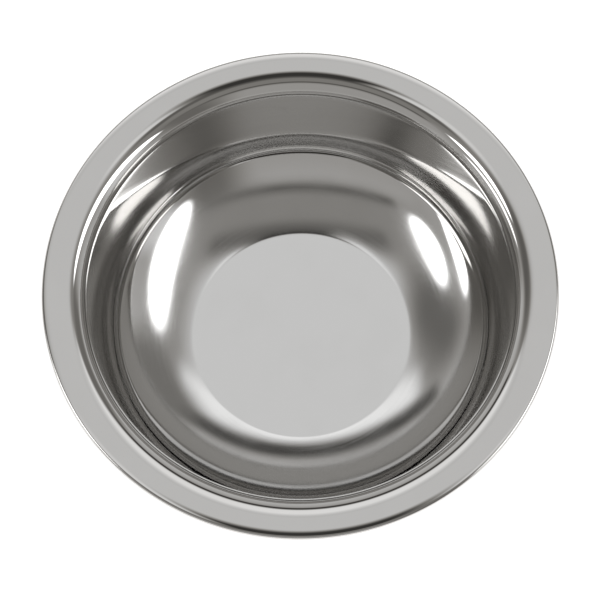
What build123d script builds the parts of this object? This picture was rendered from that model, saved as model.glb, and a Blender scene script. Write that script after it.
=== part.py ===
from build123d import *

import os
from math import cos, radians, sin

# Round hospital bowl, pressed and polished from one disc of stainless steel sheet.
# Millimetres and degrees. +Z is the bowl's axis, and the origin is the centre of the underside of the base.

# Driving dimensions. A bend is its radius on the inside face and its turn, and a positive turn bends upwards.
RIM_DIAMETER = 200.0  # over the rolled edge
SHEET = 0.7  # thickness of the drawn wall
FLOOR_RADIUS = 43.3  # flat middle of the floor, which the bowl stands on
FLOOR_BEND = (8.0, 17.0)  # out of the flat floor
DISH_BEND = (75.0, 13.5)  # round the floor
SLOPE_BEND = (62.0, 13.5)  # on up to the heel
HEEL_BEND = (10.5, 34.0)  # tight bend into the wall
WALL_LENGTH = 32.0  # straight and nearly upright side
SHOULDER_BEND = (9.1, -60.0)  # out of the wall into the rim
BROW_BEND = (18.0, -18.0)  # inner slope of the rim
CROWN_BEND = (18.0, -9.5)  # outer slope of the rim
ROLL_BEND = (1.6, -290.0)  # edge curled under, its radius measured outside


def walk(start, pieces):
    """Lines and arcs that follow each other smoothly from start, heading outwards along the floor.

    A piece is (length,) for a line, or (radius, turn) for an arc.
    """
    edges = []
    x, z = start
    heading = 0.0
    for piece in pieces:
        if len(piece) == 1:
            end = (x + piece[0] * cos(radians(heading)), z + piece[0] * sin(radians(heading)))
            edges.append(Line((x, z), end))
            x, z = end
            continue
        radius, turn = piece
        side = 1 if turn > 0 else -1
        to_centre = radians(heading + 90 * side)
        centre = (x + radius * cos(to_centre), z + radius * sin(to_centre))
        edges.append(CenterArc(centre, radius, heading - 90 * side, turn))
        heading += turn
        from_centre = radians(heading - 90 * side)
        x = centre[0] + radius * cos(from_centre)
        z = centre[1] + radius * sin(from_centre)
    return edges, (x, z)


def face_line(height, depth, rim_flat):
    """One face of the sheet, from the axis to the end of the roll. depth is how far it lies below the inside."""
    dish = [(FLOOR_RADIUS,), FLOOR_BEND, DISH_BEND, SLOPE_BEND, HEEL_BEND]
    pieces = [*dish, (WALL_LENGTH,), SHOULDER_BEND, BROW_BEND, (rim_flat,), CROWN_BEND, ROLL_BEND]
    return walk((0, height), [deeper(piece, depth) for piece in pieces])


def deeper(piece, depth):
    """The same line or bend on a face that lies depth further from the inside."""
    if len(piece) == 1:
        return piece
    radius, turn = piece
    return (radius + depth if turn > 0 else radius - depth, turn)


def bowl():
    trial, _ = face_line(SHEET, 0, 1)
    widest = max(edge.bounding_box().max.X for edge in trial)
    rim_flat = 1 + RIM_DIAMETER / 2 - widest  # the flat ring on top of the rim takes up what is left
    inside, inside_end = face_line(SHEET, 0, rim_flat)
    outside, outside_end = face_line(0, SHEET, rim_flat)
    axis_line = Line((0, 0), (0, SHEET))
    cut_edge = Line(inside_end, outside_end)
    outline = Wire([axis_line, *inside, cut_edge, *reversed(outside)])
    return revolve(Plane.XZ * make_face(outline), Axis.Z, 360)


os.makedirs("parts", exist_ok=True)
export_step(bowl(), "parts/bowl.step")
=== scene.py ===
from math import cos, pi, radians, sin, tan

import bpy
from mathutils import Matrix, Vector


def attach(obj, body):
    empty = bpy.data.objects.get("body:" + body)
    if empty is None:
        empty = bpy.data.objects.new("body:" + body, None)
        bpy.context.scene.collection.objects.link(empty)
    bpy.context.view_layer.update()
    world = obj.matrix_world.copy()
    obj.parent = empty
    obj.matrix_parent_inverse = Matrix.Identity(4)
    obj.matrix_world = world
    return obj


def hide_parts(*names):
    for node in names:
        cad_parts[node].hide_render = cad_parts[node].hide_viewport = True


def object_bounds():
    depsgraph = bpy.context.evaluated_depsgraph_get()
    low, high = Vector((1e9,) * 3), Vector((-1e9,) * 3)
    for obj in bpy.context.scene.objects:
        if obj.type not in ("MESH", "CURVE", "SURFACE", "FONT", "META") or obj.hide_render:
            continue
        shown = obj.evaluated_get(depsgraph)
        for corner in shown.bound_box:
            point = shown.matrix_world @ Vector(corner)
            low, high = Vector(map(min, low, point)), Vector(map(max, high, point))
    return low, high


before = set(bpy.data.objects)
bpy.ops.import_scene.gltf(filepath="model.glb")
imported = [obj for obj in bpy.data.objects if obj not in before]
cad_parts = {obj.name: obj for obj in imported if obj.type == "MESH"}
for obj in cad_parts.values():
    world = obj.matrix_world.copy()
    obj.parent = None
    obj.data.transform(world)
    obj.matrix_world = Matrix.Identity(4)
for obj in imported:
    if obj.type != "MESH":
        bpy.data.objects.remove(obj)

# Metres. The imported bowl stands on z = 0 with its axis on Z. Every size here is a share of its rim radius.
CAD_LOW, CAD_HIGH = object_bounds()
RIM_RADIUS = CAD_HIGH.x
RIM_HEIGHT = CAD_HIGH.z


def mm(value):
    """Millimetres on the 200 mm bowl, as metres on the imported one."""
    return value * RIM_RADIUS / 100.0


# The bowl's section, as in the CAD model. A bend is a radius on the inside face and a turn in degrees,
# upwards if positive.
SHEET = mm(0.7)
FLOOR_RADIUS = mm(43.3)
FLOOR_BEND = (mm(8.0), 17.0)
DISH_BEND = (mm(75.0), 13.5)
SLOPE_BEND = (mm(62.0), 13.5)
HEEL_BEND = (mm(10.5), 34.0)
WALL_LENGTH = mm(32.0)
SHOULDER_BEND = (mm(9.1), -60.0)
BROW_BEND = (mm(18.0), -18.0)
CROWN_BEND = (mm(18.0), -9.5)
ROLL_BEND = (mm(1.6), -290.0)

SEGMENTS = 512  # round the bowl

SATIN_EDGE = (mm(64), mm(76))  # the satin dish gives way to the mirror side between these radii
SATIN_ROUGHNESS = 0.13
MIRROR_ROUGHNESS = 0.02
SATIN_STEEL = (0.745, 0.742, 0.737)
MIRROR_STEEL = (0.645, 0.637, 0.625)
CLOUD_SHADE = 0.08  # how far soft clouds shift the colour between the two
SATIN_BUMP = 0.06
MIRROR_BUMP = 0.015
SCRATCH_ROUGHNESS = 0.04


# ---------------------------------------------------------------- shape


def walk(start, pieces):
    """Points along lines (length,) and arcs (radius, turn) that join smoothly and head outwards."""
    x, z = start
    heading = 0.0
    points = [(x, z)]
    for piece in pieces:
        if len(piece) == 1:
            steps = max(1, round(piece[0] / mm(1.5)))
            for _ in range(steps):
                x += piece[0] / steps * cos(radians(heading))
                z += piece[0] / steps * sin(radians(heading))
                points.append((x, z))
            continue
        radius, turn = piece
        side = 1 if turn > 0 else -1
        centre_angle = radians(heading + 90 * side)
        cx = x + radius * cos(centre_angle)
        cz = z + radius * sin(centre_angle)
        steps = max(4, round(max(radius * radians(abs(turn)) / mm(1.0), abs(turn) / 4)))
        for i in range(1, steps + 1):
            angle = radians(heading - 90 * side + turn * i / steps)
            points.append((cx + radius * cos(angle), cz + radius * sin(angle)))
        x, z = points[-1]
        heading += turn
    return points


def deeper(piece, depth):
    """The same line or bend on a face that lies depth further from the inside."""
    if len(piece) == 1:
        return piece
    radius, turn = piece
    return (radius + depth if turn > 0 else radius - depth, turn)


def face_line(height, depth, rim_flat):
    """One face of the sheet, from the axis to the end of the roll."""
    dish = [(FLOOR_RADIUS,), FLOOR_BEND, DISH_BEND, SLOPE_BEND, HEEL_BEND]
    pieces = [*dish, (WALL_LENGTH,), SHOULDER_BEND, BROW_BEND, (rim_flat,), CROWN_BEND, ROLL_BEND]
    return walk((0.0, height), [deeper(piece, depth) for piece in pieces])


def lathe(name, outline):
    """A closed mesh of revolution about Z. The outline's first and last points lie on the axis."""
    rings = outline[1:-1]
    vertices = [(0.0, 0.0, outline[0][1])]
    for r, z in rings:
        for i in range(SEGMENTS):
            a = 2 * pi * i / SEGMENTS
            vertices.append((r * cos(a), r * sin(a), z))
    vertices.append((0.0, 0.0, outline[-1][1]))
    last = len(vertices) - 1

    def at(ring, i):
        return 1 + ring * SEGMENTS + i % SEGMENTS

    faces = [(0, at(0, i), at(0, i + 1)) for i in range(SEGMENTS)]
    for ring in range(len(rings) - 1):
        for i in range(SEGMENTS):
            faces.append((at(ring, i), at(ring + 1, i), at(ring + 1, i + 1), at(ring, i + 1)))
    end = len(rings) - 1
    faces += [(at(end, i), last, at(end, i + 1)) for i in range(SEGMENTS)]
    mesh = bpy.data.meshes.new(name)
    mesh.from_pydata(vertices, [], faces)
    mesh.update()
    mesh.shade_smooth()
    piece = bpy.data.objects.new(name, mesh)
    bpy.context.scene.collection.objects.link(piece)
    return piece


def bowl_outline():
    trial = face_line(SHEET, 0.0, mm(1))
    rim_flat = mm(1) + RIM_RADIUS - max(r for r, _ in trial)
    inside = face_line(SHEET, 0.0, rim_flat)
    outside = face_line(0.0, SHEET, rim_flat)
    return inside + outside[::-1]


# ---------------------------------------------------------------- materials


class Nodes:
    """Short calls for building a node tree."""

    def __init__(self, tree):
        self.tree = tree

    def add(self, kind, **settings):
        node = self.tree.nodes.new(kind)
        for key, value in settings.items():
            setattr(node, key, value)
        return node

    def put(self, socket, value):
        if isinstance(value, bpy.types.NodeSocket):
            self.tree.links.new(value, socket)
        else:
            socket.default_value = value

    def math(self, operation, a, b=0.0, clamp=False):
        node = self.add("ShaderNodeMath", operation=operation, use_clamp=clamp)
        self.put(node.inputs[0], a)
        self.put(node.inputs[1], b)
        return node.outputs[0]

    def step(self, value, low, high, out_low=0.0, out_high=1.0):
        """A smooth change from out_low at low to out_high at high."""
        node = self.add("ShaderNodeMapRange", interpolation_type="SMOOTHSTEP")
        for socket, number in zip(node.inputs[:5], (value, low, high, out_low, out_high)):
            self.put(socket, number)
        return node.outputs[0]

    def mix(self, factor, a, b):
        node = self.add("ShaderNodeMix", data_type="RGBA")
        self.put(node.inputs["Factor"], factor)
        self.put(node.inputs[6], a)
        self.put(node.inputs[7], b)
        return node.outputs[2]

    def dot(self, a, b):
        node = self.add("ShaderNodeVectorMath", operation="DOT_PRODUCT")
        self.put(node.inputs[0], a)
        self.put(node.inputs[1], b)
        return node.outputs["Value"]

    def blend(self, factor, a, b):
        """The number a where factor is 0, and b where it is 1."""
        node = self.add("ShaderNodeMix", data_type="FLOAT")
        for socket, value in zip(node.inputs[:1] + node.inputs[2:4], (factor, a, b)):
            self.put(socket, value)
        return node.outputs[0]

    def noise(self, vector, scale, detail):
        node = self.add("ShaderNodeTexNoise")
        self.put(node.inputs["Vector"], vector)
        self.put(node.inputs["Scale"], scale)
        self.put(node.inputs["Detail"], detail)
        node.inputs["Roughness"].default_value = 0.5
        return node.outputs["Fac"]


def steel():
    """Stainless steel: mirror rim and side, satin dish and floor, fine turned lines and faint scratches."""
    material = bpy.data.materials.new("polished_steel")
    material.use_nodes = True
    tree = material.node_tree
    tree.nodes.clear()
    n = Nodes(tree)
    out = n.add("ShaderNodeOutputMaterial")
    shader = n.add("ShaderNodeBsdfPrincipled")
    tree.links.new(shader.outputs[0], out.inputs[0])
    place = n.add("ShaderNodeTexCoord").outputs["Object"]
    split = n.add("ShaderNodeSeparateXYZ")
    n.put(split.inputs[0], place)
    x, y, z = split.outputs
    radius = n.math("SQRT", n.math("ADD", n.math("MULTIPLY", x, x), n.math("MULTIPLY", y, y)))
    angle = n.math("ARCTAN2", y, x)

    turned = n.add("ShaderNodeCombineXYZ")
    n.put(turned.inputs[0], n.math("MULTIPLY", angle, 1.5))
    n.put(turned.inputs[1], n.math("MULTIPLY", radius, 1 / mm(0.35)))
    n.put(turned.inputs[2], n.math("MULTIPLY", z, 1 / mm(0.35)))
    lines = n.noise(turned.outputs[0], 1.0, 3.0)
    clouds = n.noise(place, 1 / mm(22), 3.0)
    long_x = n.add("ShaderNodeVectorMath", operation="MULTIPLY")
    n.put(long_x.inputs[0], place)
    n.put(long_x.inputs[1], Vector((0.05, 1.6, 1.6)) / mm(1))
    long_y = n.add("ShaderNodeVectorMath", operation="MULTIPLY")
    n.put(long_y.inputs[0], place)
    n.put(long_y.inputs[1], Vector((1.4, 0.06, 1.4)) / mm(1))
    scratch_x = n.step(n.noise(long_x.outputs[0], 1.0, 1.0), 0.70, 0.76)
    scratch_y = n.step(n.noise(long_y.outputs[0], 1.0, 1.0), 0.71, 0.77)
    scratches = n.math("MAXIMUM", scratch_x, scratch_y)

    satin = n.step(radius, SATIN_EDGE[0], SATIN_EDGE[1], SATIN_ROUGHNESS, MIRROR_ROUGHNESS)
    uneven = n.step(clouds, 0.3, 0.7, 0.85, 1.15)
    streaked = n.step(lines, 0.25, 0.75, 0.8, 1.2)
    rough = n.math("MULTIPLY", n.math("MULTIPLY", satin, uneven), streaked)
    n.put(shader.inputs["Roughness"], n.math("ADD", rough, n.math("MULTIPLY", scratches, SCRATCH_ROUGHNESS)))
    mirror = n.step(radius, SATIN_EDGE[0], SATIN_EDGE[1])
    shade = n.math("ADD", mirror, n.step(clouds, 0.3, 0.7, -CLOUD_SHADE, CLOUD_SHADE), clamp=True)
    n.put(shader.inputs["Base Color"], n.mix(shade, (*SATIN_STEEL, 1), (*MIRROR_STEEL, 1)))

    bump = n.add("ShaderNodeBump")
    n.put(bump.inputs["Strength"], n.step(radius, SATIN_EDGE[0], SATIN_EDGE[1], SATIN_BUMP, MIRROR_BUMP))
    bump.inputs["Distance"].default_value = mm(0.02)
    n.put(bump.inputs["Height"], n.math("SUBTRACT", lines, n.math("MULTIPLY", scratches, 0.6)))
    n.put(shader.inputs["Normal"], bump.outputs[0])
    shader.inputs["Metallic"].default_value = 1.0
    return material


# ---------------------------------------------------------------- studio

# Brightness of the plain surroundings: overhead, then half-way down and at the horizon, behind and in front
OVERHEAD = 0.38
BEHIND = (0.32, 0.60)
IN_FRONT = (0.33, 0.50)
WARM_GREY = (1.0, 0.965, 0.91)  # the dark surroundings are a little warm, and the lamps are white
# What stands around the bowl, seen from it: the centre's azimuth from +Y towards +X and its angle from the
# zenith, half width, half height and turn, all in degrees, then softness of the edge and brightness
PANELS = {
    "overhead_bank": (0, 17, 31, 20, 0, 0.18, 0.73),
    "back_bank": (2, 44, 34, 8.5, 0, 0.10, 1.05),
    "dark_front_high": (180, 22, 38, 15, 0, 0.12, 0.28),
    "dark_front_near": (180, 13, 30, 5, 0, 0.07, 0.15),
    "camera_side": (178, 5, 12, 7, 0, 0.08, 0.05),
    "dark_line_front": (181, 40, 38, 3, 0, 0.07, 0.10),
    "front_room": (180, 64, 50, 18, 0, 0.12, 0.44),
    "right_softbox_low": (110, 72, 9, 12, -10, 0.10, 0.8),
    "dark_line_back": (0, 58, 40, 5, 0, 0.06, 0.06),
    "dark_right_back": (52, 66, 16, 14, 0, 0.13, 0.2),
    "dark_right_front": (140, 66, 12, 20, 10, 0.17, 0.19),
    "dark_left_low": (280, 83, 10, 8, 0, 0.15, 0.22),
    "dark_left": (292, 50, 13, 18, 20, 0.20, 0.15),
}
# The lamps are ellipses, and their softness is a share of their size
LAMPS = {
    "right_high": (89, 19, 6, 4, 20, 0.6, 0.9),
    "left_high": (266, 17, 9, 5, -30, 0.6, 0.9),
    "right_softbox": (99, 54, 25, 8.5, -14, 0.12, 3.2),
    "left_softbox": (259, 53, 14, 6.5, 2, 0.15, 3.2),
    "left_softbox_low": (264, 71, 16, 4.5, 8, 0.15, 2.6),
}


# The camera looks from the -Y side; its distance and aim are in rim radii from the rim's centre
CAMERA_DISTANCE = 7.0
CAMERA_ELEVATION = 69.85
CAMERA_AIM = (0.0168, -0.0895, 0)
CAMERA_ROLL = -1.09
CAMERA_LENS = 107.2

FLOOR_REACH = 60  # rim radii from the bowl to the floor's edge
FLOOR_GREY = 0.85
FLOOR_GLOW = 0.75  # the floor lights itself a little, so that it is white all round


def direction(azimuth, zenith):
    a, z = radians(azimuth), radians(zenith)
    return Vector((sin(z) * sin(a), sin(z) * cos(a), cos(z)))


def offsets(n, ray, azimuth, zenith, turn):
    """How far across and up the ray passes that direction, as tangents, and whether it points that way."""
    centre = direction(azimuth, zenith)
    across = Vector((cos(radians(azimuth)), -sin(radians(azimuth)), 0))
    upward = across.cross(centre)
    if upward.z < 0:
        upward.negate()
    k = radians(turn)
    ahead = n.dot(ray, centre)
    depth = n.math("MAXIMUM", ahead, 0.02)
    x = n.math("DIVIDE", n.dot(ray, across * cos(k) + upward * sin(k)), depth)
    y = n.math("DIVIDE", n.dot(ray, upward * cos(k) - across * sin(k)), depth)
    return x, y, n.math("GREATER_THAN", ahead, 0.02)


def panel_mask(n, ray, azimuth, zenith, half_width, half_height, turn, softness):
    """1 inside a soft-edged rectangle seen in that direction, 0 outside it."""
    *sides, mask = offsets(n, ray, azimuth, zenith, turn)
    for offset, half in zip(sides, (half_width, half_height)):
        edge = tan(radians(half))
        inside = n.step(n.math("ABSOLUTE", offset), edge - softness, edge + softness, 1.0, 0.0)
        mask = n.math("MULTIPLY", mask, inside)
    return mask


def lamp_mask(n, ray, azimuth, zenith, half_width, half_height, turn, softness):
    """1 inside a soft-edged ellipse seen in that direction, 0 outside it."""
    x, y, mask = offsets(n, ray, azimuth, zenith, turn)
    x = n.math("DIVIDE", x, tan(radians(half_width)))
    y = n.math("DIVIDE", y, tan(radians(half_height)))
    distance = n.math("SQRT", n.math("ADD", n.math("MULTIPLY", x, x), n.math("MULTIPLY", y, y)))
    return n.math("MULTIPLY", mask, n.step(distance, 1 - softness, 1 + softness, 1.0, 0.0))


def studio_world():
    world = bpy.data.worlds.new("studio")
    bpy.context.scene.world = world
    world.use_nodes = True
    tree = world.node_tree
    tree.nodes.clear()
    n = Nodes(tree)
    out = n.add("ShaderNodeOutputWorld")
    background = n.add("ShaderNodeBackground")
    tree.links.new(background.outputs[0], out.inputs[0])
    ray = n.add("ShaderNodeTexCoord").outputs["Generated"]
    height = n.dot(ray, Vector((0, 0, 1)))
    zenith = n.math("ARCCOSINE", height)
    depth = n.dot(ray, Vector((0, 1, 0)))
    level_squared = n.math("SUBTRACT", 1.0, n.math("MULTIPLY", height, height))
    level = n.math("SQRT", n.math("MAXIMUM", level_squared, 1e-6))
    behind = n.step(n.math("DIVIDE", depth, level), -0.6, 0.6)
    middle = n.blend(behind, IN_FRONT[0], BEHIND[0])
    low = n.blend(behind, IN_FRONT[1], BEHIND[1])
    light = n.blend(n.step(zenith, radians(10), radians(50)), OVERHEAD, middle)
    light = n.blend(n.step(zenith, radians(45), radians(85)), light, low)
    for shape, things in ((panel_mask, PANELS), (lamp_mask, LAMPS)):
        for thing in things.values():
            light = n.blend(shape(n, ray, *thing[:6]), light, thing[6])
    tree.links.new(light, background.inputs["Strength"])
    n.put(background.inputs["Color"], n.mix(n.step(light, 0.15, 0.75), (*WARM_GREY, 1), (1, 1, 1, 1)))


def camera():
    data = bpy.data.cameras.new("camera")
    data.sensor_width = 36.0
    data.lens = CAMERA_LENS
    obj = bpy.data.objects.new("camera", data)
    bpy.context.scene.collection.objects.link(obj)
    rim_centre = Vector((0, 0, RIM_HEIGHT))
    elevation = radians(CAMERA_ELEVATION)
    back = Vector((0, -cos(elevation), sin(elevation)))
    obj.location = rim_centre + back * CAMERA_DISTANCE * RIM_RADIUS
    aim = rim_centre + Vector(CAMERA_AIM) * RIM_RADIUS
    turn = (aim - obj.location).to_track_quat("-Z", "Y").to_matrix().to_4x4()
    obj.matrix_world = Matrix.Translation(obj.location) @ turn @ Matrix.Rotation(radians(CAMERA_ROLL), 4, "Z")
    bpy.context.scene.camera = obj


def floor():
    reach = FLOOR_REACH * RIM_RADIUS
    corners = [(-reach, -reach, 0), (reach, -reach, 0), (reach, reach, 0), (-reach, reach, 0)]
    mesh = bpy.data.meshes.new("floor")
    mesh.from_pydata(corners, [], [(0, 1, 2, 3)])
    obj = bpy.data.objects.new("floor", mesh)
    bpy.context.scene.collection.objects.link(obj)
    material = bpy.data.materials.new("floor")
    material.use_nodes = True
    shader = material.node_tree.nodes["Principled BSDF"]
    shader.inputs["Base Color"].default_value = (FLOOR_GREY, FLOOR_GREY, FLOOR_GREY, 1)
    shader.inputs["Roughness"].default_value = 0.6
    shader.inputs["Emission Color"].default_value = (1, 1, 1, 1)
    shader.inputs["Emission Strength"].default_value = FLOOR_GLOW
    mesh.materials.append(material)


studio_world()
camera()
floor()
bowl = lathe("bowl_body", bowl_outline())
bowl.data.materials.append(steel())
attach(bowl, "root")
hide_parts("bowl")
bpy.context.scene.view_settings.view_transform = "Standard"
